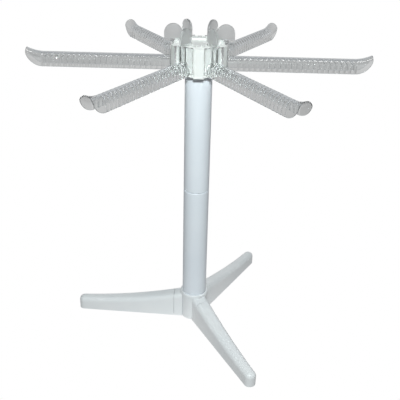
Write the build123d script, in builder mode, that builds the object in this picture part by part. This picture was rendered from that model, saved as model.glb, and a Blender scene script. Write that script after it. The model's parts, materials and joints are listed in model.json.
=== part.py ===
from build123d import *
from math import atan2, cos, degrees, radians, sin, tan
import os

# A pasta drying rack. Six clear plastic arms stand out level from a slotted head, like spokes.
# The head turns on top of a two-piece post, and the post stands in a socket with three plug-on legs.
# The rack comes apart for storage: arms lift out of the head, the post pulls apart, legs pull off.
#
# Millimetres. The origin is on the floor, on the post's axis. +Z is up, and one arm lies along +X.

# Counts and angles
arm_count = 6
leg_count = 3
full_turn = 360.0
half_turn = full_turn / 2
arm_step = full_turn / arm_count
half_arm_step = arm_step / 2
leg_step = full_turn / leg_count
leg_turn = -2.5
first_leg_angle = half_turn + leg_turn

# Fits
overrun = 1.0
running_fit = 0.08
plug_fit = 0.15
loose_gap = 0.3
side_play = 0.2

# Post: two tubes with a plug between them
post_radius = 17.5
post_wall = 2.2
lower_post_length = 206.3
upper_post_length = 187.3
post_edge_round = 1.4
post_bore = post_radius - post_wall

# Joiner: the plug inside the seam, with a thin collar between the tubes' ends
joiner_collar = 0.4
joiner_reach = 34.0
joiner_wall = 2.2

# Base: a socket on three stubs, each with a tongue that a leg slides onto
floor_gap = 0.6
base_floor = 5.4
base_recess_depth = 2.4
base_recess_radius = 15.0
socket_radius = 19.8
socket_depth = 37.5
rim_radius = 20.6
rim_height = 5.0
rim_round = 1.8
tongue_length = 16.0
tongue_width = 14.0
tongue_height = 20.0
tongue_rise = 8.0
tongue_chamfer = 1.5

# Legs: open underneath, with cross ribs and a boss for the foot pad
leg_seam = 30.0
leg_seam_gap = 0.5
leg_reach = 176.0
leg_root_width = 22.6
leg_foot_width = 15.4
leg_crown_start = 17.2
leg_crown_height = 40.0
leg_waist_share = 0.49
leg_waist_height = 26.0
leg_foot_height = 20.6
leg_edge_radius = 7.0
leg_corner_radius = 7.2
leg_wall = 2.6
leg_rib = 1.8
leg_rib_count = 3
pad_radius = 5.4
pad_thickness = 2.2
pad_inset = 13.0
pad_boss_wall = 1.8

# Head: a hexagon with a flat facing each arm and a rib at each corner
head_flat = 31.5
head_rib_reach = 36.6
head_rib_width = 11.6
head_skirt_depth = 24.4
head_height = 37.3
head_floor = 3.0
head_base = 4.0
head_cup_radius = 16.8
head_skirt_gap = 0.35
head_wall = 2.2
head_web = 5.6
head_rim_start = 30.0
head_rim_angle = 17.0
head_lip = 0.8
head_lip_height = 2.4
head_edge_round = 0.9
head_cap_drop = 2.3
head_cap_wall = 1.6
head_cap_round = 0.5

# Pivot: a plug in the post's top end, with a boss that the head turns on, a washer and a screw
pivot_reach = 24.0
pivot_wall = 2.6
pivot_flange = 2.4
pivot_flange_inset = 0.3
pivot_boss_radius = 6.0
pivot_boss_stand = 0.2
pivot_top = 2.5
pilot_depth = 17.0
washer_radius = 9.0
washer_thickness = 1.2
screw_radius = 2.0
screw_length = 16.0
screw_head_radius = 3.8
screw_head_height = 2.5
screw_head_round = 1.2
screw_fit = 0.05
cross_width = 1.1
cross_span = 4.4
cross_depth = 1.4

# Arms: a thin saddle with grooves across it, a turned-up tip, and a tall blade at the root
arm_reach = 215.0
arm_width = 18.0
arm_depth = 17.0
arm_wall = 1.8
arm_rise = 2.8
groove_depth = 0.7
groove_crown_depth = 0.1
groove_width = 2.2
groove_pitch = 6.7
groove_start = 45.8
groove_inset = 19.0
tip_run = 22.0
tip_rise = 5.0
tip_overturn = 2.0
bow_run = 20.5
tip_edge = 5.5
blade_inner = 21.0
blade_width = 22.5
blade_thickness = 3.0
blade_height = 54.0
key_depth = 3.6
key_width = 9.8
key_height = 30.0
flange_thickness = 4.6
flange_play = 0.7
flange_rise = 1.5
flange_height = 31.0

# Heights, worked up from the floor
post_bottom = floor_gap + base_floor
seam_bottom = post_bottom + lower_post_length
seam_top = seam_bottom + joiner_collar
post_top = seam_top + upper_post_length
head_seat = post_top + pivot_flange
head_bottom = head_seat - head_skirt_depth
head_top = head_bottom + head_height
cup_floor = head_seat + head_floor
cap_top = head_top - head_cap_drop
slot_floor = head_bottom + head_base
washer_seat = cup_floor + pivot_boss_stand
screw_seat = washer_seat + washer_thickness
saddle_low = head_bottom + arm_rise
saddle_top = saddle_low + arm_depth
blade_top = slot_floor + blade_height
rim_top = post_bottom + socket_depth

# Places along a leg and along an arm
leg_waist_place = leg_crown_start + leg_waist_share * (leg_reach - leg_crown_start)
pad_place = leg_reach - pad_inset
leg_rib_pitch = (pad_place - leg_seam) / (leg_rib_count + 1)
tip_start = arm_reach - tip_run
bow_start = arm_reach - bow_run
groove_end = arm_reach - groove_inset

# Places across the head and the arm's root
slot_width = blade_thickness + 2 * side_play
key_pocket_inner = blade_inner - loose_gap
key_pocket_depth = key_depth + 2 * loose_gap
key_pocket_width = key_width + 2 * loose_gap
flange_inner = head_flat + loose_gap
flange_outer = flange_inner + flange_thickness
flange_bottom = slot_floor + flange_rise


def export_piece(piece, name):
    """Name a finished piece and write it."""
    piece.label = name
    export_step(piece, f"parts/{name}.step")


def ring(bottom, height, outer, inner=0):
    """A plain ring about the post's axis, or a disc where there is no inner radius."""
    with BuildPart() as piece:
        with BuildSketch(Plane.XY.offset(bottom)):
            Circle(outer)
            if inner > 0:
                Circle(inner, mode=Mode.SUBTRACT)
        extrude(amount=height)
    return piece.part


def post_tube(bottom, length):
    """One half of the post, with both outer edges rounded."""
    tube_blank = ring(bottom, length, post_radius, post_bore)
    with BuildPart() as tube:
        add(tube_blank)
        outer_edges = tube.edges().filter_by(GeomType.CIRCLE).group_by(SortBy.RADIUS)[-1]
        fillet(outer_edges, radius=post_edge_round)
    return tube.part


def post_joiner():
    """The sleeve that joins the two tubes, and the collar that they butt against."""
    plug_radius = post_bore - plug_fit
    sleeve_bore = plug_radius - joiner_wall
    sleeve = ring(seam_bottom - joiner_reach, 2 * joiner_reach + joiner_collar, plug_radius, sleeve_bore)
    collar = ring(seam_bottom, joiner_collar, post_radius - post_edge_round, sleeve_bore)
    with BuildPart() as joiner:
        add(sleeve)
        add(collar)
    return joiner.part


def leg_half_width(place):
    """Half a leg's width at a distance from the post's axis."""
    taper = (leg_root_width - leg_foot_width) / 2 / (leg_reach - leg_seam)
    return leg_root_width / 2 - taper * (place - leg_seam)


def leg_form(start, inset):
    """A leg's outer form along +X from start to the foot, drawn in by inset at its sides, top and foot."""
    foot = leg_reach - inset
    start_half = leg_half_width(start) - inset
    foot_half = leg_half_width(foot) - inset
    with BuildPart() as form:
        with BuildSketch(Plane.XY.offset(floor_gap)):
            with BuildLine():
                Polyline((start, start_half), (foot, foot_half), (foot, -foot_half), (start, -start_half), close=True)
            make_face()
        extrude(amount=leg_crown_height)
        foot_corners = form.edges().filter_by(Axis.Z).sort_by(Axis.X)[-2:]
        fillet(foot_corners, radius=leg_corner_radius - inset)
        with BuildSketch(Plane.XZ):
            with BuildLine():
                crown = ThreePointArc(
                    (leg_crown_start, leg_crown_height - inset),
                    (leg_waist_place, leg_waist_height - inset),
                    (leg_reach, leg_foot_height - inset),
                )
                Polyline(crown @ 1, (leg_reach, 0), (leg_crown_start, 0), crown @ 0)
            make_face()
        extrude(amount=leg_root_width, both=True, mode=Mode.INTERSECT)
        top_edges = form.faces().sort_by(Axis.Z)[-1].edges().sort_by(Axis.X)[1:]
        fillet(top_edges, radius=leg_edge_radius - inset)
    return form.part


def tongue_block(start, end, play):
    """The tongue's block along +X, or with play the window that it passes through."""
    with BuildPart() as block:
        with BuildSketch(Plane.YZ.offset(start)):
            with Locations((0, tongue_rise + tongue_height / 2)):
                Rectangle(tongue_width + 2 * play, tongue_height + 2 * play)
        extrude(amount=end - start)
    return block.part


def base_stub():
    """One stub of the base along +X, hollow underneath, with the tongue that a leg slides onto."""
    stub_end = leg_seam - leg_seam_gap
    hollow_end = stub_end - leg_wall
    blank = leg_form(leg_crown_start, 0)
    hollow_blank = leg_form(leg_crown_start, leg_wall)
    tongue = tongue_block(hollow_end, leg_seam + tongue_length, 0)
    with BuildPart() as hollow:
        add(hollow_blank)
        split(bisect_by=Plane.YZ.offset(hollow_end), keep=Keep.BOTTOM)
        split(bisect_by=Plane.YZ.offset(socket_radius), keep=Keep.TOP)
    with BuildPart() as stub:
        add(blank)
        split(bisect_by=Plane.YZ.offset(stub_end), keep=Keep.BOTTOM)
        add(hollow.part, mode=Mode.SUBTRACT)
        add(tongue)
        chamfer(stub.faces().sort_by(Axis.X)[-1].edges(), length=tongue_chamfer)
    return stub.part


def base_hub():
    """The socket for the post, with a stub and a tongue for each leg."""
    stub = base_stub()
    socket_bore = post_radius + plug_fit
    body = ring(floor_gap, rim_top - floor_gap, socket_radius)
    rim = ring(rim_top - rim_height, rim_height, rim_radius)
    with BuildPart() as hub:
        add(body)
        add(rim)
        rim_edges = hub.edges().filter_by(GeomType.CIRCLE).group_by(SortBy.RADIUS)[-1].sort_by(Axis.Z)
        fillet(rim_edges[-1], radius=rim_round)
        for index in range(leg_count):
            add(stub.rotate(Axis.Z, first_leg_angle + index * leg_step))
        with BuildSketch(Plane.XY.offset(post_bottom)):
            Circle(socket_bore)
        extrude(amount=socket_depth, mode=Mode.SUBTRACT)
        with BuildSketch(Plane.XY.offset(floor_gap)):
            Circle(base_recess_radius)
        extrude(amount=base_recess_depth, mode=Mode.SUBTRACT)
    return hub.part


def leg_blank():
    """One leg along +X: a shell open underneath, with a window for the tongue, cross ribs and a pad boss."""
    outer = leg_form(leg_seam, 0)
    inner = leg_form(leg_seam + leg_wall, leg_wall)
    window = tongue_block(leg_seam - overrun, leg_seam + leg_wall + overrun, side_play)
    rib_places = [(leg_seam + (index + 1) * leg_rib_pitch, 0) for index in range(leg_rib_count)]
    with BuildPart() as hollow:
        add(inner)
        with BuildSketch(Plane.XY):
            with Locations(*rib_places):
                Rectangle(leg_rib, leg_root_width)
            with Locations((pad_place, 0)):
                Circle(pad_radius + pad_boss_wall)
        extrude(amount=leg_crown_height, mode=Mode.SUBTRACT)
    with BuildPart() as leg:
        add(outer)
        add(hollow.part, mode=Mode.SUBTRACT)
        add(window, mode=Mode.SUBTRACT)
        with BuildSketch(Plane.XY):
            with Locations((pad_place, 0)):
                Circle(pad_radius + plug_fit)
        extrude(amount=pad_thickness, mode=Mode.SUBTRACT)
    return leg.part


def foot_pad():
    """One round pad along +X, set into the foot's boss and standing proud of it."""
    with BuildPart() as pad:
        with BuildSketch(Plane.XY):
            with Locations((pad_place, 0)):
                Circle(pad_radius)
        extrude(amount=pad_thickness)
    return pad.part


def head_outline(flat, reach, width):
    """The head's outline: a hexagon with a flat facing each arm, and a round-edged rib at each corner."""
    with BuildSketch() as outline:
        RegularPolygon(flat, arm_count, major_radius=False, rotation=half_arm_step)
        with PolarLocations(0, arm_count, start_angle=half_arm_step):
            RectangleRounded(reach, width, head_edge_round, align=(Align.MIN, Align.CENTER))
    return outline.sketch


def arm_slots():
    """The outline of the slots that the arms' blades and keys drop into."""
    with BuildSketch() as slots:
        with PolarLocations(blade_inner, arm_count):
            Rectangle(head_rib_reach, slot_width, align=(Align.MIN, Align.CENTER))
        with PolarLocations(key_pocket_inner, arm_count):
            Rectangle(key_pocket_depth, key_pocket_width, align=(Align.MIN, Align.CENTER))
    return slots.sketch


def head_pockets():
    """The outline of the pockets that lighten the head, one each side of the web behind each rib."""
    cheek_width = slot_width + 2 * head_wall
    key_cheek_width = key_pocket_width + 2 * head_wall
    with BuildSketch() as pockets:
        RegularPolygon(head_flat - head_wall, arm_count, major_radius=False, rotation=half_arm_step)
        Circle(key_pocket_inner, mode=Mode.SUBTRACT)
        with PolarLocations(0, arm_count):
            Rectangle(head_rib_reach, cheek_width, align=(Align.MIN, Align.CENTER), mode=Mode.SUBTRACT)
            Rectangle(
                key_pocket_inner + key_pocket_depth + head_wall,
                key_cheek_width,
                align=(Align.MIN, Align.CENTER),
                mode=Mode.SUBTRACT,
            )
        with PolarLocations(0, arm_count, start_angle=half_arm_step):
            Rectangle(head_rib_reach, head_web, align=(Align.MIN, Align.CENTER), mode=Mode.SUBTRACT)
    return pockets.sketch


def head_hub():
    """The slotted head that holds the arms and turns on the post."""
    outline = head_outline(head_flat, head_rib_reach, head_rib_width)
    lip = head_outline(head_flat + head_lip, head_rib_reach + head_lip, head_rib_width + 2 * head_lip)
    slots = arm_slots()
    pockets = head_pockets()
    envelope_radius = head_rib_reach + head_rib_width
    rim_drop = (envelope_radius - head_rim_start) * tan(radians(head_rim_angle))
    with BuildPart() as hub:
        with BuildSketch(Plane.XY.offset(head_bottom)):
            add(outline)
        extrude(amount=head_height)
        with BuildSketch(Plane.XZ):
            with BuildLine():
                Polyline(
                    (0, head_bottom),
                    (envelope_radius, head_bottom),
                    (envelope_radius, head_top - rim_drop),
                    (head_rim_start, head_top),
                    (0, head_top),
                    close=True,
                )
            make_face()
        revolve(axis=Axis.Z, mode=Mode.INTERSECT)
        with BuildSketch(Plane.XY.offset(head_bottom)):
            add(lip)
        extrude(amount=head_lip_height)
        with BuildSketch(Plane.XY.offset(slot_floor)):
            add(slots)
        extrude(amount=head_height, mode=Mode.SUBTRACT)
        with BuildSketch(Plane.XY.offset(slot_floor)):
            add(pockets)
        extrude(amount=head_height, mode=Mode.SUBTRACT)
        with BuildSketch(Plane.XY.offset(head_bottom)):
            Circle(post_radius + head_skirt_gap)
        extrude(amount=head_skirt_depth, mode=Mode.SUBTRACT)
        with BuildSketch(Plane.XY.offset(cup_floor)):
            Circle(head_cup_radius)
        extrude(amount=head_height, mode=Mode.SUBTRACT)
        with BuildSketch(Plane.XY.offset(head_seat)):
            Circle(pivot_boss_radius + running_fit)
        extrude(amount=head_floor, mode=Mode.SUBTRACT)
    return hub.part


def head_cap():
    """The round cap in the head's cup, over the screw: a flat top on a skirt that stands on the cup's floor."""
    cap_radius = head_cup_radius - plug_fit
    skirt = ring(cup_floor, cap_top - cup_floor, cap_radius, cap_radius - head_cap_wall)
    disc = ring(cap_top - head_cap_wall, head_cap_wall, cap_radius)
    with BuildPart() as cap:
        add(skirt)
        add(disc)
        top_edge = cap.edges().filter_by(GeomType.CIRCLE).sort_by(Axis.Z)[-1]
        fillet(top_edge, radius=head_cap_round)
    return cap.part


def pivot_plug():
    """The plug in the post's top end: a hollow shank, a flange that carries the head, and the boss it turns on."""
    shank_radius = post_bore - plug_fit
    shank = ring(post_top - pivot_reach, pivot_reach, shank_radius, shank_radius - pivot_wall)
    roof = ring(post_top - pivot_top, pivot_top, shank_radius)
    flange = ring(post_top, pivot_flange, post_radius - pivot_flange_inset)
    screw_boss = ring(washer_seat - pilot_depth - pivot_top, pilot_depth, screw_radius + pivot_wall)
    boss = ring(post_top, washer_seat - post_top, pivot_boss_radius)
    pilot = ring(washer_seat - pilot_depth, pilot_depth, screw_radius + screw_fit)
    with BuildPart() as plug:
        for body in (shank, roof, flange, screw_boss, boss):
            add(body)
        add(pilot, mode=Mode.SUBTRACT)
    return plug.part


def head_screw():
    """The pan-head screw that keeps the head on its pivot, with a cross recess."""
    shank = ring(screw_seat - screw_length, screw_length, screw_radius)
    head = ring(screw_seat, screw_head_height, screw_head_radius)
    with BuildPart() as screw:
        add(head)
        top_edge = screw.edges().filter_by(GeomType.CIRCLE).sort_by(Axis.Z)[-1]
        fillet(top_edge, radius=screw_head_round)
        add(shank)
        with BuildSketch(Plane.XY.offset(screw_seat + screw_head_height - cross_depth)):
            Rectangle(cross_span, cross_width)
            Rectangle(cross_width, cross_span)
        extrude(amount=cross_depth, mode=Mode.SUBTRACT)
    return screw.part


def flange_half_width(place):
    """Half the width of an arm's root flange, so that its sides run along the ribs beside it."""
    half_angle = radians(half_arm_step)
    return place * tan(half_angle) - (head_rib_width / 2 + flange_play) / cos(half_angle)


def saddle_arch(half, crown, low):
    """The open line of an arch across an arm: up one side, over a half circle, down the other side."""
    spring = crown - half
    Line((-half, low), (-half, spring))
    RadiusArc((-half, spring), (0, crown), half)
    RadiusArc((0, crown), (half, spring), half)
    Line((half, spring), (half, low))


def saddle_band(outer_half, outer_crown, inner_half, inner_crown, low):
    """The band between two arches across an arm, closed along its two feet."""
    with BuildSketch() as band:
        with BuildLine():
            saddle_arch(outer_half, outer_crown, low)
            saddle_arch(inner_half, inner_crown, low)
            Line((-outer_half, low), (-inner_half, low))
            Line((inner_half, low), (outer_half, low))
        make_face()
    return band.sketch


def arm_blank():
    """One arm along +X: grooved saddle, turned-up tip, root flange, and the blade with its key."""
    half = arm_width / 2
    inner_half = half - arm_wall
    groove_half = half - groove_depth
    saddle_start = flange_inner + flange_thickness / 2
    tip_angle = 2 * atan2(tip_rise, tip_run)
    tip_bend = tip_run / sin(tip_angle)
    tip_axis = Axis((tip_start, 0, saddle_top + tip_bend), (0, -1, 0))
    tip_top = saddle_top + tip_rise
    groove_count = int((groove_end - groove_width - groove_start) // groove_pitch) + 1
    groove_planes = [Plane.YZ.offset(groove_start + index * groove_pitch) for index in range(groove_count)]
    shell = saddle_band(half, saddle_top, inner_half, saddle_top - arm_wall, saddle_low)
    cut_half = half + overrun
    cut_crown = saddle_top - groove_crown_depth
    cut = saddle_band(cut_half, saddle_top + overrun, groove_half, cut_crown, saddle_low - overrun)
    blade_outer = blade_inner + blade_width
    blade_round = blade_width / 2
    blade_foot = saddle_top - arm_wall / 2
    with BuildPart() as arm:
        with BuildSketch(Plane.YZ.offset(saddle_start)):
            add(shell)
        extrude(amount=tip_start - saddle_start)
        with BuildSketch(Plane.YZ.offset(tip_start)):
            add(shell)
        revolve(axis=tip_axis, revolution_arc=degrees(tip_angle) + tip_overturn)
        with BuildSketch(Plane.XZ):
            with BuildLine():
                bow = TangentArc((bow_start, saddle_low), (arm_reach, tip_top - tip_edge), tangent=(1, 0))
                Polyline(
                    bow @ 1,
                    (arm_reach, tip_top + overrun),
                    (saddle_start, tip_top + overrun),
                    (saddle_start, saddle_low),
                    bow @ 0,
                )
            make_face()
        extrude(amount=arm_width, both=True, mode=Mode.INTERSECT)
        with BuildSketch(*groove_planes):
            add(cut)
        extrude(amount=groove_width, mode=Mode.SUBTRACT)
        with BuildSketch(Plane.XY.offset(flange_bottom)):
            with BuildLine():
                inner_width = flange_half_width(flange_inner)
                outer_width = flange_half_width(flange_outer)
                Polyline(
                    (flange_inner, -inner_width),
                    (flange_outer, -outer_width),
                    (flange_outer, outer_width),
                    (flange_inner, inner_width),
                    close=True,
                )
            make_face()
        extrude(amount=flange_height)
        with BuildSketch(Plane.XZ):
            with BuildLine():
                crown = ThreePointArc(
                    (blade_outer, blade_top - blade_round),
                    (blade_inner + blade_round, blade_top),
                    (blade_inner, blade_top - blade_round),
                )
                Polyline(
                    crown @ 1,
                    (blade_inner, slot_floor),
                    (flange_inner + flange_thickness / 2, slot_floor),
                    (flange_inner + flange_thickness / 2, blade_foot),
                    (blade_outer, blade_foot),
                    crown @ 0,
                )
            make_face()
        extrude(amount=blade_thickness / 2, both=True)
        with BuildSketch(Plane.XY.offset(slot_floor)):
            with Locations((blade_inner, 0)):
                Rectangle(key_depth, key_width, align=(Align.MIN, Align.CENTER))
        extrude(amount=key_height)
    return arm.part


os.makedirs("parts", exist_ok=True)

export_piece(base_hub(), "base_hub")
export_piece(post_tube(post_bottom, lower_post_length), "lower_post")
export_piece(post_joiner(), "post_joiner")
export_piece(post_tube(seam_top, upper_post_length), "upper_post")
export_piece(pivot_plug(), "pivot_plug")
export_piece(head_hub(), "head_hub")
export_piece(head_cap(), "head_cap")
export_piece(ring(washer_seat, washer_thickness, washer_radius, screw_radius + screw_fit), "head_washer")
export_piece(head_screw(), "head_screw")

leg = leg_blank()
pad = foot_pad()
for index in range(leg_count):
    angle = first_leg_angle + index * leg_step
    export_piece(leg.rotate(Axis.Z, angle), f"leg_{index + 1}")
    export_piece(pad.rotate(Axis.Z, angle), f"foot_pad_{index + 1}")

arm = arm_blank()
for index in range(arm_count):
    export_piece(arm.rotate(Axis.Z, index * arm_step), f"arm_{index + 1}")
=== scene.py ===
# %% [markdown]
# # A pasta drying rack: six clear arms round a white head
#
# The rack stands on three legs. A tube carries a slotted head, and six clear arms drop into the
# head's slots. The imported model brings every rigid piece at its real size, as a fixed frame. This
# lesson gives each piece its finish, and builds the clear arms again with soft, rounded ribs,
# because clear plastic shows every edge twice.

# %% The frame and the tools
import json
from math import cos, pi, radians, sin, tan

import bmesh
import bpy
from mathutils import Matrix, Vector


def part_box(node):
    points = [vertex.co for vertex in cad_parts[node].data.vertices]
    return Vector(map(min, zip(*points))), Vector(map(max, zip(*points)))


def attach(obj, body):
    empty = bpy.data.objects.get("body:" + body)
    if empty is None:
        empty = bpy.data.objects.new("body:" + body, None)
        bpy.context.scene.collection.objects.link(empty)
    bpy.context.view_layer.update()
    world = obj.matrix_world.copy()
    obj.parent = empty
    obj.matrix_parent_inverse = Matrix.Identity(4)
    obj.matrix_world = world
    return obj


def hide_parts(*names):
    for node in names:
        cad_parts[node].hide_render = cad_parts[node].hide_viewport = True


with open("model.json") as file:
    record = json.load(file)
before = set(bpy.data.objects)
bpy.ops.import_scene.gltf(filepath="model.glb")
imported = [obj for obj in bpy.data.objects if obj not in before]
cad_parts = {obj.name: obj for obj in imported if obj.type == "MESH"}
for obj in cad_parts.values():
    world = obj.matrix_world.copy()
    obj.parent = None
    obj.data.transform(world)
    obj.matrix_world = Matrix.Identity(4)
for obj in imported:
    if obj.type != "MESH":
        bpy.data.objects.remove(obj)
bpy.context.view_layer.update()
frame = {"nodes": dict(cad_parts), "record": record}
mm = 0.001
cm = 0.01
full_turn = 2 * pi


# %% [markdown]
# ## Formulas as nodes
#
# Geometry Nodes and materials both do sums with Math nodes. A tree of thirty Math nodes is hard to
# read, so this small class lets a formula be written as plain arithmetic, and adds the Math nodes
# behind it.

# %% A number that a node tree works out
class Rule:
    """A number that a node tree works out at each point. Arithmetic on it adds Math nodes."""

    def __init__(self, tree, socket):
        self.tree = tree
        self.socket = socket

    def math(self, operation, *others):
        node = self.tree.nodes.new("ShaderNodeMath")
        node.operation = operation
        for entry, value in zip(node.inputs, (self, *others)):
            plug(self.tree, entry, value)
        return Rule(self.tree, node.outputs[0])

    def __add__(self, other):
        return self.math("ADD", other)

    def __sub__(self, other):
        return self.math("SUBTRACT", other)

    def __mul__(self, other):
        return self.math("MULTIPLY", other)

    def __truediv__(self, other):
        return self.math("DIVIDE", other)

    def __rsub__(self, other):
        return self * -1 + other

    def least(self, other):
        return self.math("MINIMUM", other)

    def most(self, other):
        return self.math("MAXIMUM", other)

    def within(self, low, high):
        return self.most(low).least(high)


def plug(tree, entry, value):
    """Give a node's input a number, a colour, a socket or a Rule."""
    if isinstance(value, Rule):
        tree.links.new(value.socket, entry)
    elif isinstance(value, bpy.types.NodeSocket):
        tree.links.new(value, entry)
    else:
        entry.default_value = value


def add_node(tree, kind, settings=None, **values):
    """Add a node, set its settings, and fill its inputs by name, with _ for a space."""
    node = tree.nodes.new(kind)
    for name, value in (settings or {}).items():
        setattr(node, name, value)
    for name, value in values.items():
        plug(tree, node.inputs[name.replace("_", " ")], value)
    return node


# %% [markdown]
# ## Moulded plastic
#
# No moulding is one flat colour. The melt leaves faint clouds where it flowed and cooled, the
# mould's polish leaves a fine skin, and handling leaves areas that shine a little less. Each
# plastic here is a Principled shader with those three layers from noise on Object coordinates, in
# metres, so the pattern keeps its real scale on each piece.

# %% Layers that every plastic shares
cloud_range = (0.35, 0.65)
coat_weight = 0.1
coat_roughness = 0.2

# A Mix node has a set of sockets for each kind of value. These are the ones for a colour
mix_share, mix_first, mix_last, mix_result = 0, 6, 7, 2


def start_material(name):
    """A new node material: the material, its tree, its shader and its Object coordinates."""
    material = bpy.data.materials.new(name)
    material.use_nodes = True
    tree = material.node_tree
    shader = tree.nodes["Principled BSDF"]
    coordinates = add_node(tree, "ShaderNodeTexCoord").outputs["Object"]
    return material, tree, shader, coordinates


def noise(tree, coordinates, size, detail=2.0):
    """Noise whose features are about size across."""
    texture = add_node(
        tree, "ShaderNodeTexNoise", Vector=coordinates, Scale=1 / size, Detail=detail
    )
    return Rule(tree, texture.outputs["Fac"])


def between(tree, share, first, last):
    """A colour that runs from first to last as share runs from 0 to 1."""
    mix = add_node(tree, "ShaderNodeMix", {"data_type": "RGBA"})
    plug(tree, mix.inputs[mix_share], share)
    plug(tree, mix.inputs[mix_first], (*first, 1))
    plug(tree, mix.inputs[mix_last], (*last, 1))
    return mix.outputs[mix_result]


def stretched(share, low, high):
    """Spread the part of a share between low and high over 0 to 1."""
    return ((share - low) / (high - low)).within(0, 1)


def bump(tree, height, depth):
    """A normal from a height between 0 and 1 that stands for depth in metres."""
    node = add_node(tree, "ShaderNodeBump", Height=height, Distance=depth, Strength=1.0)
    return node.outputs["Normal"]


def add_coat(shader, index):
    """Give a plastic its index of refraction and the thin coat of a moulding's skin."""
    shader.inputs["IOR"].default_value = index
    shader.inputs["Coat Weight"].default_value = coat_weight
    shader.inputs["Coat Roughness"].default_value = coat_roughness


# %% The opaque plastics
opaque_index = 1.49
skin_size = 0.9 * mm
skin_share = 0.35
ripple_size = 14 * mm
ripple_share = 1.6
skin_depth = 0.012 * mm
wear_size = 9 * mm
wear_range = (0.45, 0.7)
wear_roughness = 0.08


def moulded_plastic(name, pale, deep, roughness, cloud_size):
    """An opaque moulding: clouds of two close colours, a fine skin, and uneven shine."""
    material, tree, shader, coordinates = start_material(name)
    clouds = stretched(noise(tree, coordinates, cloud_size, detail=3.0), *cloud_range)
    skin = noise(tree, coordinates, skin_size, detail=3.0)
    ripples = noise(tree, coordinates, ripple_size, detail=1.0)
    wear = stretched(noise(tree, coordinates, wear_size, detail=4.0), *wear_range)
    height = skin * skin_share + ripples * ripple_share
    plug(tree, shader.inputs["Base Color"], between(tree, clouds, deep, pale))
    plug(tree, shader.inputs["Roughness"], wear * wear_roughness + roughness)
    plug(tree, shader.inputs["Normal"], bump(tree, height, skin_depth))
    add_coat(shader, opaque_index)
    return material


head_plastic = moulded_plastic(
    "head plastic",
    pale=(0.83, 0.84, 0.82),
    deep=(0.81, 0.825, 0.805),
    roughness=0.22,
    cloud_size=40 * mm,
)
post_plastic = moulded_plastic(
    "post plastic",
    pale=(0.84, 0.88, 0.93),
    deep=(0.81, 0.855, 0.91),
    roughness=0.34,
    cloud_size=70 * mm,
)
base_plastic = moulded_plastic(
    "base plastic",
    pale=(0.88, 0.895, 0.905),
    deep=(0.84, 0.865, 0.88),
    roughness=0.38,
    cloud_size=55 * mm,
)
plug_plastic = moulded_plastic(
    "plug plastic",
    pale=(0.93, 0.94, 0.94),
    deep=(0.90, 0.92, 0.93),
    roughness=0.45,
    cloud_size=40 * mm,
)
print("plastics:", head_plastic.name, post_plastic.name, base_plastic.name, plug_plastic.name)


# %% [markdown]
# ## Clear plastic
#
# The arms are clear, with the faint grey of a cheap clear resin. Real refraction is what draws
# their ribs, so the shader is full transmission. The grey is in the shader's colour, which light
# meets each time that it crosses a wall. Only the tall tabs for the fingers, above the head's rim,
# have a fine matt grain. Lamps would cast black shadows through such a shader, so rays on their way
# to a lamp meet a Transparent shader in its place: grey where they cross a wall squarely, and
# almost black where they graze it, which draws a real clear part's shadow.

# %% The clear plastic
clear_index = 1.5
clear_cloud_size = 18 * mm
clear_roughness = 0.02
haze_size = 5 * mm
haze_range = (0.4, 0.75)
haze_roughness = 0.05
flow_size = 6 * mm
flow_depth = 0.02 * mm
head_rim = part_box("head_hub")[1].z
matt_fade = 3 * mm
matt_roughness = 0.3
edge_power = 3.0
print("head rim:", round(head_rim / mm, 1), "mm")


def clear_resin(name, pale, deep, through, edge_on):
    """Clear plastic: refraction, faint clouds, a matt grain above the head's rim, and a shadow
    with dark edges."""
    material, tree, shader, coordinates = start_material(name)
    clouds = stretched(noise(tree, coordinates, clear_cloud_size), *cloud_range)
    haze = stretched(noise(tree, coordinates, haze_size, detail=3.0), *haze_range)
    flow = noise(tree, coordinates, flow_size)
    height = Rule(tree, add_node(tree, "ShaderNodeSeparateXYZ", Vector=coordinates).outputs["Z"])
    matt = stretched(height, head_rim, head_rim + matt_fade)
    roughness = haze * haze_roughness + clear_roughness + matt * matt_roughness
    plug(tree, shader.inputs["Base Color"], between(tree, clouds, deep, pale))
    plug(tree, shader.inputs["Roughness"], roughness)
    plug(tree, shader.inputs["Normal"], bump(tree, flow, flow_depth))
    shader.inputs["Transmission Weight"].default_value = 1.0
    add_coat(shader, clear_index)

    slant = Rule(tree, add_node(tree, "ShaderNodeLayerWeight", Blend=0.5).outputs["Facing"])
    shade = between(tree, slant.math("POWER", edge_power), through, edge_on)
    to_lamps = add_node(tree, "ShaderNodeBsdfTransparent", Color=shade)
    path = add_node(tree, "ShaderNodeLightPath")
    mix = add_node(tree, "ShaderNodeMixShader")
    share, by_sight, by_lamps = mix.inputs
    plug(tree, share, path.outputs["Is Shadow Ray"])
    plug(tree, by_sight, shader.outputs["BSDF"])
    plug(tree, by_lamps, to_lamps.outputs["BSDF"])
    plug(tree, tree.nodes["Material Output"].inputs["Surface"], mix.outputs["Shader"])
    return material


clear_plastic = clear_resin(
    "clear plastic",
    pale=(0.943, 0.957, 0.957),
    deep=(0.91, 0.923, 0.923),
    through=(0.5, 0.5, 0.5),
    edge_on=(0.02, 0.02, 0.02),
)


# %% [markdown]
# ## Steel and rubber
#
# The screw and its washer are zinc-plated steel, turned on a lathe, so their roughness has fine
# rings about the post's axis. The foot pads are grey rubber: dull, with a fine grain and a little
# dust that makes it paler.

# %% Steel
steel_dull = (0.66, 0.66, 0.64)
steel_bright = (0.78, 0.78, 0.77)
steel_roughness = 0.26
ring_scale = 900.0
ring_distortion = 0.6
ring_roughness = 0.12
ring_depth = 0.01 * mm
stain_size = 3 * mm
stain_range = (0.4, 0.7)


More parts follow.
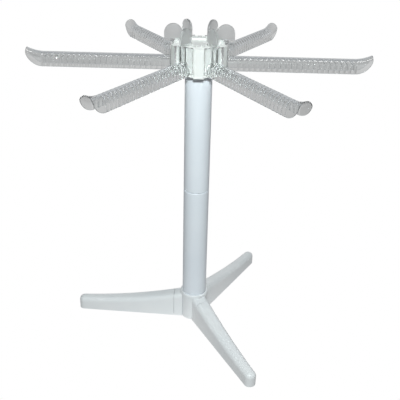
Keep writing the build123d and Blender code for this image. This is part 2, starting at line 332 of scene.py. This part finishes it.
def turned_steel(name):
    """Plated steel with fine rings about the upright axis."""
    material, tree, shader, coordinates = start_material(name)
    rings = add_node(
        tree,
        "ShaderNodeTexWave",
        {"wave_type": "RINGS", "rings_direction": "Z"},
        Vector=coordinates,
        Scale=ring_scale,
        Distortion=ring_distortion,
    )
    lines = Rule(tree, rings.outputs["Fac"])
    stains = stretched(noise(tree, coordinates, stain_size, detail=3.0), *stain_range)
    plug(tree, shader.inputs["Base Color"], between(tree, stains, steel_dull, steel_bright))
    plug(tree, shader.inputs["Roughness"], lines * ring_roughness + steel_roughness)
    plug(tree, shader.inputs["Normal"], bump(tree, lines, ring_depth))
    shader.inputs["Metallic"].default_value = 1.0
    return material


# %% Rubber
rubber_clean = (0.075, 0.08, 0.085)
rubber_dusty = (0.14, 0.145, 0.15)
rubber_roughness = 0.72
grain_size = 0.5 * mm
grain_depth = 0.04 * mm
dust_size = 4 * mm
dust_range = (0.5, 0.75)
dust_roughness = 0.12


def dull_rubber(name):
    """Grey rubber with a fine grain and some dust."""
    material, tree, shader, coordinates = start_material(name)
    grain = noise(tree, coordinates, grain_size, detail=3.0)
    dust = stretched(noise(tree, coordinates, dust_size, detail=3.0), *dust_range)
    plug(tree, shader.inputs["Base Color"], between(tree, dust, rubber_clean, rubber_dusty))
    plug(tree, shader.inputs["Roughness"], dust * dust_roughness + rubber_roughness)
    plug(tree, shader.inputs["Normal"], bump(tree, grain, grain_depth))
    return material


# %% [markdown]
# ## The finish of each piece from the frame
#
# The frame's record names a material slot for each piece. One table turns those names into the
# finishes above.

# %% Dress the frame's own pieces
finishes = {
    "clear_plastic": clear_plastic,
    "head_plastic": head_plastic,
    "post_plastic": post_plastic,
    "base_plastic": base_plastic,
    "plug_plastic": plug_plastic,
    "steel": turned_steel("plated steel"),
    "pad_rubber": dull_rubber("pad rubber"),
}
for part in frame["record"]["subparts"]:
    piece = frame["nodes"][part["node"]]
    piece.data.materials.clear()
    piece.data.materials.append(finishes[part["material_slot"]])


# %% [markdown]
# ## The ribbed saddle of an arm
#
# The pasta hangs over an upside-down trough with shallow grooves across it, so that the strands
# don't slide together. Its whole surface follows one rule: an arch, swept along the arm, whose
# outside dips at each groove and whose tip turns up like a boat's bow. A rule is what Geometry
# Nodes are good at, so the tree starts from a flat grid and moves each point. One side of the grid
# runs along the arm, and the other runs once round the arch's wall: out over the top, then back
# inside. Merging the points that meet closes the wall.

# %% Sizes of an arm, read from the frame
arm_low, arm_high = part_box("arm_1")
arm_count = sum(name.startswith("arm_") for name in frame["nodes"])
arm_reach = arm_high.x
saddle_low = arm_low.z
blade_top = arm_high.z
blade_inner = arm_low.x

# %% Sizes of the saddle
arm_half = 9 * mm
arm_wall = 1.8 * mm
saddle_height = 17 * mm
saddle_top = saddle_low + saddle_height
tip_wall = 1.2 * mm
tip_run = 22 * mm
tip_rise = 5 * mm
tip_edge = 5.5 * mm
bow_run = 20.5 * mm
bow_rise = saddle_top + tip_rise - tip_edge - saddle_low
groove_pitch = 6.7 * mm
groove_count = 23
first_groove = 46.9 * mm
groove_depth = 0.9 * mm
groove_power = 2.6
smooth_angle = radians(8)
full_angle = radians(36)
steps_per_rib = 20
steps_before_rib = 38
steps_in_edge = 6
points_around = 81
merge_distance = 0.001 * mm


def arc_radius(run, rise):
    """The radius of an arc that starts level and rises by rise over run."""
    return (run * run + rise * rise) / (2 * rise)


step = groove_pitch / steps_per_rib
edge_round = tip_wall / 2
even_steps = round((arm_reach - edge_round - first_groove) / step) + steps_before_rib
saddle_sizes = {
    "Step": step,
    "Reach": arm_reach,
    "Top": saddle_top,
    "Low": saddle_low,
    "Half Width": arm_half,
    "Wall": arm_wall,
    "Tip Wall": tip_wall,
    "Edge Round": edge_round,
    "Tip Start": arm_reach - tip_run,
    "Tip Radius": arc_radius(tip_run, tip_rise),
    "Bow Start": arm_reach - bow_run,
    "Bow Run": bow_run,
    "Bow Radius": arc_radius(bow_run, bow_rise),
    "Groove Pitch": groove_pitch,
    "Groove Count": groove_count,
    "First Groove": first_groove,
    "Groove Depth": groove_depth,
    "Groove Power": groove_power,
    "Smooth Angle": smooth_angle,
    "Full Angle": full_angle,
}
print("saddle sizes:", {name: round(value, 5) for name, value in saddle_sizes.items()})
print("the saddle starts at", round((arm_reach - edge_round - even_steps * step) / mm, 2), "mm")


# %% The saddle's tree
def saddle_tree(sizes, along, around):
    """Geometry nodes for the ribbed saddle: a grid of along by around points, moved by the rule."""
    tree = bpy.data.node_groups.new("ribbed saddle", "GeometryNodeTree")
    tree.interface.new_socket("Geometry", in_out="OUTPUT", socket_type="NodeSocketGeometry")
    for name in sizes:
        tree.interface.new_socket(name, in_out="INPUT", socket_type="NodeSocketFloat")
    tree.interface.new_socket("Material", in_out="INPUT", socket_type="NodeSocketMaterial")
    entry = tree.nodes.new("NodeGroupInput")
    size = {name: Rule(tree, entry.outputs[name]) for name in sizes}

    # The grid's own place, from 0 to 1 along the arm and round the wall
    grid = add_node(
        tree,
        "GeometryNodeMeshGrid",
        Size_X=1.0,
        Size_Y=1.0,
        Vertices_X=along,
        Vertices_Y=around,
    )
    place = add_node(tree, "GeometryNodeInputPosition")
    parts = add_node(tree, "ShaderNodeSeparateXYZ", Vector=place.outputs["Position"])
    u = Rule(tree, parts.outputs["X"]) + 0.5
    v = Rule(tree, parts.outputs["Y"]) + 0.5

    # Along the arm, counted back from the tip: first round its edge, then in even steps
    behind = (1 - u) * (along - 1)
    turned = (behind / steps_in_edge).least(1) * (pi / 2)
    round_edge = size["Edge Round"] * (1 - turned.math("COSINE"))
    x = size["Reach"] - round_edge - (behind - steps_in_edge).most(0) * size["Step"]

    def climb(start, radius):
        """The height of an arc of this radius that leaves the level at start."""
        past = (x - start).most(0)
        return radius - (radius * radius - past * past).most(0).math("SQRT")

    crown = size["Top"] + climb(size["Tip Start"], size["Tip Radius"])
    foot = size["Low"] + climb(size["Bow Start"], size["Bow Radius"])
    spring = crown - size["Half Width"]
    thinning = ((x - size["Bow Start"]) / size["Bow Run"]).within(0, 1)
    half_wall = (size["Wall"] - (size["Wall"] - size["Tip Wall"]) * thinning) * 0.5
    radius = size["Half Width"] - half_wall

    # Round the wall: outside while turn is under 1, inside after it
    turn = v * 2
    outside = turn.math("LESS_THAN", 1.0)
    side = outside * 2 - 1
    share = 1 - (turn - 1).math("ABSOLUTE")
    share = 0.5 - (share * pi).math("COSINE") * 0.5
    quarter = radius * (pi / 2)
    bend = ((foot - spring) / radius).within(0, 1).math("ARCCOSINE")
    half_length = radius * bend + (spring - foot).most(0)
    reach = (share * 2 - 1) * half_length
    angle = (reach / radius).within(-pi / 2, pi / 2)
    drop = (reach.math("ABSOLUTE") - quarter).most(0)

    def rounded(distance):
        """0 at an edge, 1 from the edge's round inwards, along a quarter circle."""
        inner = 1 - (distance / size["Edge Round"]).within(0, 1)
        return (1 - inner * inner).math("SQRT")

    thickness = rounded(half_length - reach.math("ABSOLUTE"))
    thickness = thickness * rounded((u * (along - 1) * size["Step"]).least(size["Reach"] - x))

    # Each rib has a crowned top and falls into a narrow groove, which fades out over the crown
    order = (x - size["First Groove"]) / size["Groove Pitch"] + 0.5
    past_first = order.math("GREATER_THAN", 0.0)
    before_last = (size["Groove Count"] - order).math("GREATER_THAN", 0.0)
    nearness = 1 - (order.math("FRACT") - 0.5).math("ABSOLUTE") * 2
    fade_run = size["Full Angle"] - size["Smooth Angle"]
    fade = ((angle.math("ABSOLUTE") - size["Smooth Angle"]) / fade_run).within(0, 1)
    fade = fade * fade * (3 - fade * 2)
    dip = nearness.math("POWER", size["Groove Power"]) * size["Groove Depth"]
    dip = dip * fade * past_first * before_last * outside
    offset = (side * half_wall - dip) * thickness

    moved = add_node(
        tree,
        "ShaderNodeCombineXYZ",
        X=x,
        Y=(radius + offset) * angle.math("SINE"),
        Z=spring - drop + (radius + offset) * angle.math("COSINE"),
    )
    shaped = add_node(
        tree,
        "GeometryNodeSetPosition",
        Geometry=grid.outputs["Mesh"],
        Position=moved.outputs["Vector"],
    )
    merged = add_node(
        tree,
        "GeometryNodeMergeByDistance",
        Geometry=shaped.outputs["Geometry"],
        Distance=merge_distance,
    )
    real = add_node(tree, "GeometryNodeRealizeInstances", Geometry=merged.outputs["Geometry"])
    dressed = add_node(
        tree,
        "GeometryNodeSetMaterial",
        Geometry=real.outputs["Geometry"],
        Material=entry.outputs["Material"],
    )
    leave = tree.nodes.new("NodeGroupOutput")
    tree.links.new(dressed.outputs["Geometry"], leave.inputs["Geometry"])
    return tree


# %% Run a tree and keep its mesh
def face_outwards(mesh):
    """Turn every face of a closed mesh outwards."""
    cells = bmesh.new()
    cells.from_mesh(mesh)
    bmesh.ops.recalc_face_normals(cells, faces=cells.faces)
    cells.to_mesh(mesh)
    cells.free()


def grown_mesh(name, tree, values):
    """Give an empty mesh the tree as a modifier, set its inputs by identifier, and keep the
    result."""
    carrier = bpy.data.objects.new(name, bpy.data.meshes.new(name))
    bpy.context.scene.collection.objects.link(carrier)
    modifier = carrier.modifiers.new(name, "NODES")
    modifier.node_group = tree
    for socket in tree.interface.items_tree:
        if socket.in_out == "INPUT":
            modifier[socket.identifier] = values[socket.name]
    evaluated = carrier.evaluated_get(bpy.context.evaluated_depsgraph_get())
    mesh = bpy.data.meshes.new_from_object(evaluated)
    bpy.data.objects.remove(carrier)
    face_outwards(mesh)
    return mesh


points_along = even_steps + steps_in_edge + 1
saddle = grown_mesh(
    "saddle",
    saddle_tree(saddle_sizes, points_along, points_around),
    {**saddle_sizes, "Material": clear_plastic},
)
print("saddle:", len(saddle.vertices), "points,", len(saddle.polygons), "faces")


# %% [markdown]
# ## The arm's root
#
# At the root, a flange fills the recess between two ribs of the head, a tall blade passes through
# the slot, and a key behind it stops the arm from pulling out. Each is an outline with thickness
# and softened edges. A union joins them to the saddle into one clear moulding, with no walls left
# inside it: refraction would show those at once.

# %% Sizes of the root
slot_floor = saddle_low + 1.2 * mm
blade_outer = blade_inner + 22.5 * mm
blade_radius = (blade_outer - blade_inner) / 2
blade_thickness = 3 * mm
flange_inner = 31.8 * mm
flange_outer = 36.4 * mm
flange_low = slot_floor + 1.5 * mm
flange_height = 31 * mm
rib_half = 5.8 * mm
flange_play = 0.7 * mm
key_depth = 3.6 * mm
key_half = 4.9 * mm
key_height = 30 * mm
root_soften = 0.35 * mm
soften_segments = 3
corner_angle = radians(30)
arc_steps = 40


# %% Slabs with softened edges
def slab(name, outline, normal, thickness):
    """A closed outline with thickness along normal, centred on the outline, and rounded edges."""
    across = Vector(normal) * thickness
    cells = bmesh.new()
    corners = [cells.verts.new(Vector(point) - across / 2) for point in outline]
    face = cells.faces.new(corners)
    lifted = bmesh.ops.extrude_face_region(cells, geom=[face])["geom"]
    moved = [item for item in lifted if isinstance(item, bmesh.types.BMVert)]
    bmesh.ops.translate(cells, verts=moved, vec=across)
    bmesh.ops.recalc_face_normals(cells, faces=cells.faces)
    sharp = [edge for edge in cells.edges if edge.calc_face_angle() > corner_angle]
    bmesh.ops.bevel(
        cells,
        geom=sharp,
        offset=root_soften,
        segments=soften_segments,
        profile=0.5,
        affect="EDGES",
    )
    mesh = bpy.data.meshes.new(name)
    cells.to_mesh(mesh)
    cells.free()
    return mesh


def place_object(name, mesh):
    """Put a mesh in the scene under a name."""
    obj = bpy.data.objects.new(name, mesh)
    bpy.context.scene.collection.objects.link(obj)
    return obj


def joined(name, meshes):
    """The union of closed meshes, as one mesh."""
    body = place_object(name, meshes[0])
    helpers = [place_object(mesh.name, mesh) for mesh in meshes[1:]]
    for helper in helpers:
        union = body.modifiers.new(helper.name, "BOOLEAN")
        union.operation = "UNION"
        union.solver = "EXACT"
        union.object = helper
    evaluated = body.evaluated_get(bpy.context.evaluated_depsgraph_get())
    mesh = bpy.data.meshes.new_from_object(evaluated)
    for obj in (body, *helpers):
        bpy.data.objects.remove(obj)
    return mesh


# %% The flange, the blade and the key
def flange_half(place):
    """Half the flange's width at a distance from the post's axis. Its sides run along the ribs
    of the head beside it."""
    half_angle = full_turn / arm_count / 2
    return place * tan(half_angle) - (rib_half + flange_play) / cos(half_angle)


def blade_outline():
    """The blade's outline: two upright sides under a half circle, with a foot over the saddle."""
    middle = Vector((blade_inner + blade_radius, 0, blade_top - blade_radius))
    turns = [pi * index / arc_steps for index in range(arc_steps + 1)]
    crown = [middle + blade_radius * Vector((cos(turn), 0, sin(turn))) for turn in turns]
    foot_end = (flange_inner + flange_outer) / 2
    over_saddle = saddle_top - arm_wall / 2
    foot = [
        (blade_inner, 0, slot_floor),
        (foot_end, 0, slot_floor),
        (foot_end, 0, over_saddle),
        (blade_outer, 0, over_saddle),
    ]
    return [*crown, *foot]


flange_middle = flange_low + flange_height / 2
flange_outline = [
    (flange_inner, -flange_half(flange_inner), flange_middle),
    (flange_outer, -flange_half(flange_outer), flange_middle),
    (flange_outer, flange_half(flange_outer), flange_middle),
    (flange_inner, flange_half(flange_inner), flange_middle),
]
key_middle = slot_floor + key_height / 2
key_outline = [
    (blade_inner, -key_half, key_middle),
    (blade_inner + key_depth, -key_half, key_middle),
    (blade_inner + key_depth, key_half, key_middle),
    (blade_inner, key_half, key_middle),
]
upwards = (0, 0, 1)
sideways = (0, 1, 0)
arm_mesh = joined(
    "arm",
    [
        saddle,
        slab("flange", flange_outline, upwards, flange_height),
        slab("blade", blade_outline(), sideways, blade_thickness),
        slab("key", key_outline, upwards, key_height),
    ],
)
print("arm:", len(arm_mesh.vertices), "points,", len(arm_mesh.polygons), "faces")


# %% [markdown]
# ## Six arms
#
# Each arm of the frame is turned a sixth of a turn from the one before. The clear arm takes each
# place in turn, with its turn in the mesh, so that the object itself stays at the origin as the
# frame's pieces do.

# %% Put an arm in each slot
soft_angle = radians(38)
for index in range(arm_count):
    node = f"arm_{index + 1}"
    mesh = arm_mesh.copy()
    mesh.transform(Matrix.Rotation(full_turn * index / arm_count, 4, "Z"))
    mesh.materials.clear()
    mesh.materials.append(clear_plastic)
    mesh.shade_smooth()
    mesh.set_sharp_from_angle(angle=soft_angle)
    arm = place_object(f"clear_{node}", mesh)
    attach(arm, node)
    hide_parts(node)
print("arms:", arm_count)


# %% [markdown]
# ## Floor and surroundings
#
# The rack stands on a plain white floor that runs into a white background. Clear plastic has no
# look of its own: it shows what is around it. So the surroundings are white to the camera, and a
# calmer grey to the light that has passed through an arm or bounced off a wall, as in a room that
# is darker than the paper under the rack. Broad patches and a painted shade under the rack give
# that grey some life. The floor also glows with painted light where it gives light back: a pool
# that fades with the distance from the rack, because the flash lights only the paper near it.

# %% One brightness for the camera, others for glass and for light
def seen_as(tree, camera, through, mirrored, other):
    """A strength that depends on what kind of ray meets it."""
    path = add_node(tree, "ShaderNodeLightPath")
    strength = other
    for kind, value in (("Glossy", mirrored), ("Transmission", through), ("Camera", camera)):
        is_kind = Rule(tree, path.outputs[f"Is {kind} Ray"])
        strength = is_kind * value + (1 - is_kind) * strength
    return strength


# %% The floor
paper_size = 16.0
paper_white = (1, 1, 1, 1)
painted_pool_reach = 60 * cm
shade_reach = 90 * cm
patch_size = 35 * cm
patch_range = (0.3, 0.7)
patch_contrast = 0.6
patch_darkest = 0.7


def paper_floor(name, camera, through, under, mirrored, near, far):
    """A large white sheet on which no shadow shows. Near and far are the painted light that it
    glows with beside the rack and away from it, a pool of the flash's light; through and under are
    what an arm shows of it there, under with a painted shade of the rack."""
    material, tree, shader, coordinates = start_material(name)
    tree.nodes.remove(shader)
    length = add_node(tree, "ShaderNodeVectorMath", {"operation": "LENGTH"}, Vector=coordinates)
    distance = Rule(tree, length.outputs["Value"])
    # A painted pool of the flash's light that the floor glows with, brightest beside the rack
    closeness = (1 - distance / painted_pool_reach).most(0)
    # A painted shade of the rack on the paper, seen through an arm, darkest under the rack
    shade = (1 - distance / shade_reach).most(0)
    painted_pool = closeness * closeness * (near - far) + far
    patches = stretched(noise(tree, coordinates, patch_size, detail=1.0), *patch_range)
    behind = (shade * (under - through) + through) * (patches * patch_contrast + patch_darkest)
    strength = seen_as(tree, camera, behind, mirrored, painted_pool)
    light = add_node(tree, "ShaderNodeEmission", Color=paper_white, Strength=strength)
    plug(tree, tree.nodes["Material Output"].inputs["Surface"], light.outputs["Emission"])
    mesh = bpy.data.meshes.new(name)
    half = paper_size / 2
    corners = [(-half, -half, 0), (half, -half, 0), (half, half, 0), (-half, half, 0)]
    mesh.from_pydata(corners, [], [(0, 1, 2, 3)])
    mesh.materials.append(material)
    material.cycles.emission_sampling = "NONE"
    floor = place_object(name, mesh)


paper_floor(
    "paper_floor", camera=1.0, through=0.53, under=0.2, mirrored=0.45, near=0.84, far=0.1
)

# %% The surroundings
room_tint = (0.94, 0.97, 1, 1)
haze_low = 0.35
haze_top = 0.8


def room_light(camera, low, high, low_through, high_through, mirrored):
    """The world: white to the camera, and else one strength at the horizon and one overhead."""
    world = bpy.data.worlds.new("room")
    bpy.context.scene.world = world
    world.cycles.sampling_method = "NONE"
    world.use_nodes = True
    tree = world.node_tree
    coordinates = add_node(tree, "ShaderNodeTexCoord").outputs["Generated"]
    parts = add_node(tree, "ShaderNodeSeparateXYZ", Vector=coordinates)
    height = Rule(tree, parts.outputs["Z"]).within(0, 1)
    sky = height * (high - low) + low
    sky_through = stretched(height, haze_low, haze_top) * (high_through - low_through)
    sky_through = sky_through + low_through
    background = tree.nodes["Background"]
    strength = seen_as(tree, camera, sky_through, mirrored, sky)
    plug(tree, background.inputs["Strength"], strength)
    plug(tree, background.inputs["Color"], room_tint)


room_light(
    camera=1.1, low=0.10, high=0.14, low_through=0.58, high_through=0.10, mirrored=0.45
)


# %% [markdown]
# ## Lights
#
# The picture was lit by one small hard light a little above the camera. It gives the crisp shadow
# of the head on the post. A wide panel overhead draws a dashed bright line along the ribs of each
# arm, and two discs, high on the left and right, only fill the sides. The last panel lights the
# rack's back, and is hidden from the clear plastic.

# %% The lights
head_middle = Vector((0, 0, 395 * mm))
post_middle = Vector((0, 0, 25 * cm))
overhead_place = Vector((22 * cm, -4 * cm, 139 * cm))
overhead_aim = Vector((22 * cm, -4 * cm, 0))
flash_size = 1.4 * cm
disc_size = 60 * cm
flash_colour = (0.93, 1.0, 1.0)
plain_colour = (1, 1, 1)


def panel(name, place, aim, width, depth, power, colour=plain_colour):
    """An oval light that shines from place to aim."""
    data = bpy.data.lights.new(name, "AREA")
    data.shape = "ELLIPSE"
    data.size = width
    data.size_y = depth
    data.energy = power
    data.color = colour
    light = bpy.data.objects.new(name, data)
    light.location = place
    light.rotation_euler = (Vector(aim) - Vector(place)).to_track_quat("-Z", "Y").to_euler()
    bpy.context.scene.collection.objects.link(light)
    return light


def disc(name, place, aim, power):
    """A round light of the common size."""
    return panel(name, place, aim, disc_size, disc_size, power)


flash_place = (0.9 * cm, -75.9 * cm, 74 * cm)
panel("flash", flash_place, head_middle, flash_size, flash_size, 6.7, flash_colour)
panel("overhead_panel", overhead_place, overhead_aim, width=75 * cm, depth=22 * cm, power=2.4)
disc("left_panel", (-120 * cm, -60 * cm, 130 * cm), head_middle, power=0.6)
disc("right_panel", (120 * cm, -60 * cm, 130 * cm), head_middle, power=0.4)
back_panel = disc("back_panel", (0, 130 * cm, 38 * cm), post_middle, power=6.0)
back_panel.visible_camera = False
back_panel.visible_glossy = False
back_panel.visible_transmission = False


# %% [markdown]
# ## Camera
#
# The camera stands a little above the rack and looks down at it, turned a touch about its own
# axis. Its numbers come from fitting a camera to the arms' tips, the post and the legs as the
# photo shows them. Light has to pass many walls of an arm before it leaves it, so more bounces are
# followed than usual.

# %% The camera
focal_pixels = 612.0
picture_pixels = 400.0
camera_place = Vector((0.934 * cm, -75.897 * cm, 58.95 * cm))
camera_heading = 0.29
camera_pitch = 27.49
camera_roll = 1.42

# A camera that isn't turned looks straight down, so looking level is a quarter turn
level_look = 90
heading = Matrix.Rotation(radians(camera_heading), 4, "Z")
pitch = Matrix.Rotation(radians(level_look - camera_pitch), 4, "X")
roll = Matrix.Rotation(radians(camera_roll), 4, "Z")
look = heading @ pitch

camera_data = bpy.data.cameras.new("camera")
camera_data.lens = camera_data.sensor_width * focal_pixels / picture_pixels
camera = bpy.data.objects.new("camera", camera_data)
camera.matrix_world = Matrix.Translation(camera_place) @ look @ roll

scene = bpy.context.scene
scene.collection.objects.link(camera)
scene.camera = camera
scene.view_settings.view_transform = "Standard"
scene.cycles.transmission_bounces = 16
scene.cycles.glossy_bounces = 16
scene.cycles.max_bounces = 18
scene.cycles.transparent_max_bounces = 24
print("camera: lens", round(camera_data.lens, 2), "mm")
